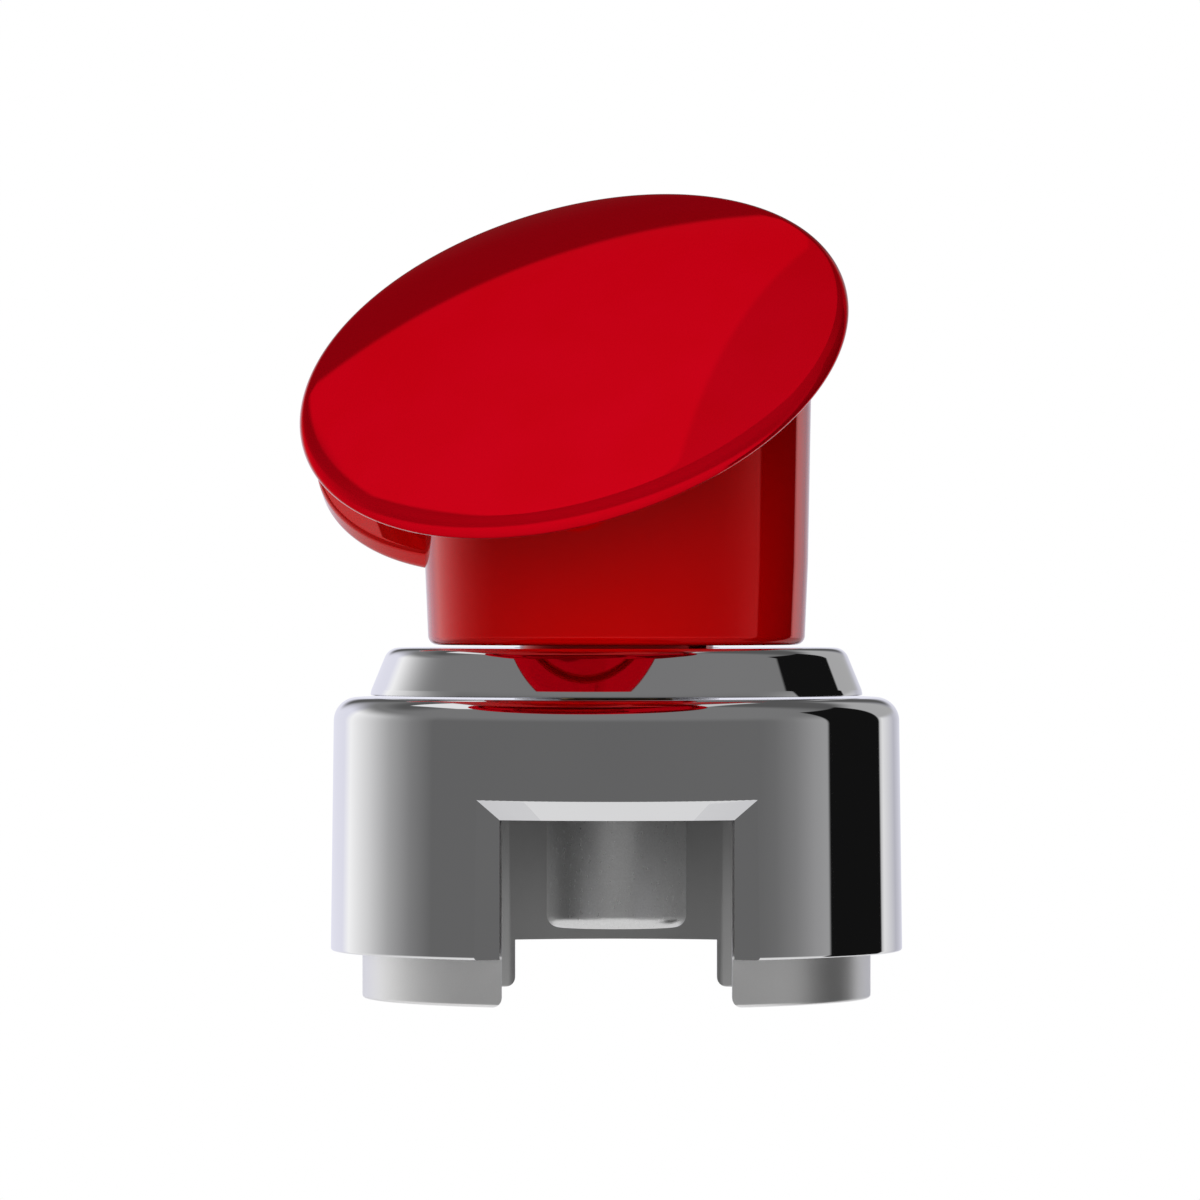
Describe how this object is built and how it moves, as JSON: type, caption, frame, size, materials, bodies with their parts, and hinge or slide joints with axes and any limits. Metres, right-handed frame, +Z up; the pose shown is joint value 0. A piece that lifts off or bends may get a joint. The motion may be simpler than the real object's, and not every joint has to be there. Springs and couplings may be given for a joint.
{
  "type": "quiz buzzer",
  "caption": "Quiz buzzer: slanted red press disc on a turning red drum, on a chrome bell base with an open front window and satin mounting cup.",
  "frame": {"origin": "on the head's swivel axis, in the flat lower end of the centre boss", "axes": "+Z up along the swivel axis, -Y towards the front window of the base, +X to the right seen from the front"},
  "size_m": [0.0633, 0.0865, 0.0851],
  "materials": {
    "polished_chrome": "mirror-bright plating",
    "satin_steel": "bead-blasted satin",
    "plain_steel": "plain machined",
    "bearing_bronze": "oiled bearing bronze",
    "sounder_brass": "thin rolled sheet",
    "red_lacquer": "high-gloss tinted lacquer over metal",
    "white_plastic": "low-friction plastic",
    "black_plastic": "moulded, fine texture",
    "black_rubber": "soft matt",
    "green_board": "solder-masked glass laminate"
  },
  "bodies": {
    "base": {"bell_skirt": "polished_chrome", "collar_ring": "polished_chrome", "mount_cup": "satin_steel", "centre_boss": "satin_steel", "ballast_ring": "plain_steel", "swivel_bush": "bearing_bronze", "glide_washer": "white_plastic", "base_screw_1": "plain_steel", "base_screw_2": "plain_steel", "base_screw_3": "plain_steel"},
    "head": {"head_shell": "red_lacquer", "sounder_case": "black_plastic", "piezo_ring": "sounder_brass", "board_block": "black_plastic", "swivel_spindle": "plain_steel", "spindle_nut": "plain_steel", "nut_washer": "plain_steel", "seat_plate": "red_lacquer", "stem_bush": "bearing_bronze", "bumper_ring": "black_rubber", "seat_screw_1": "plain_steel", "seat_screw_2": "plain_steel", "battery_holder": "black_plastic", "coin_cell": "plain_steel", "battery_door": "red_lacquer", "circuit_board": "green_board", "switch_body": "black_plastic", "driver_chip": "black_plastic"},
    "cap": {"press_cap": "red_lacquer", "cap_stem": "plain_steel", "stem_clip": "plain_steel"}
  },
  "joints": [
    {"name": "head_swivel", "type": "hinge", "parent": "base", "child": "head", "pos_m": [0, 0, 0.027], "axis": [0, 0, 1], "continuous": true},
    {"name": "cap_press", "type": "slide", "parent": "head", "child": "cap", "axis": [0.2497, 0.5582, -0.7912], "range_m": [0, 0.0025], "stiffness_N_per_m": 2000, "springref_m": -0.001}
  ]
}
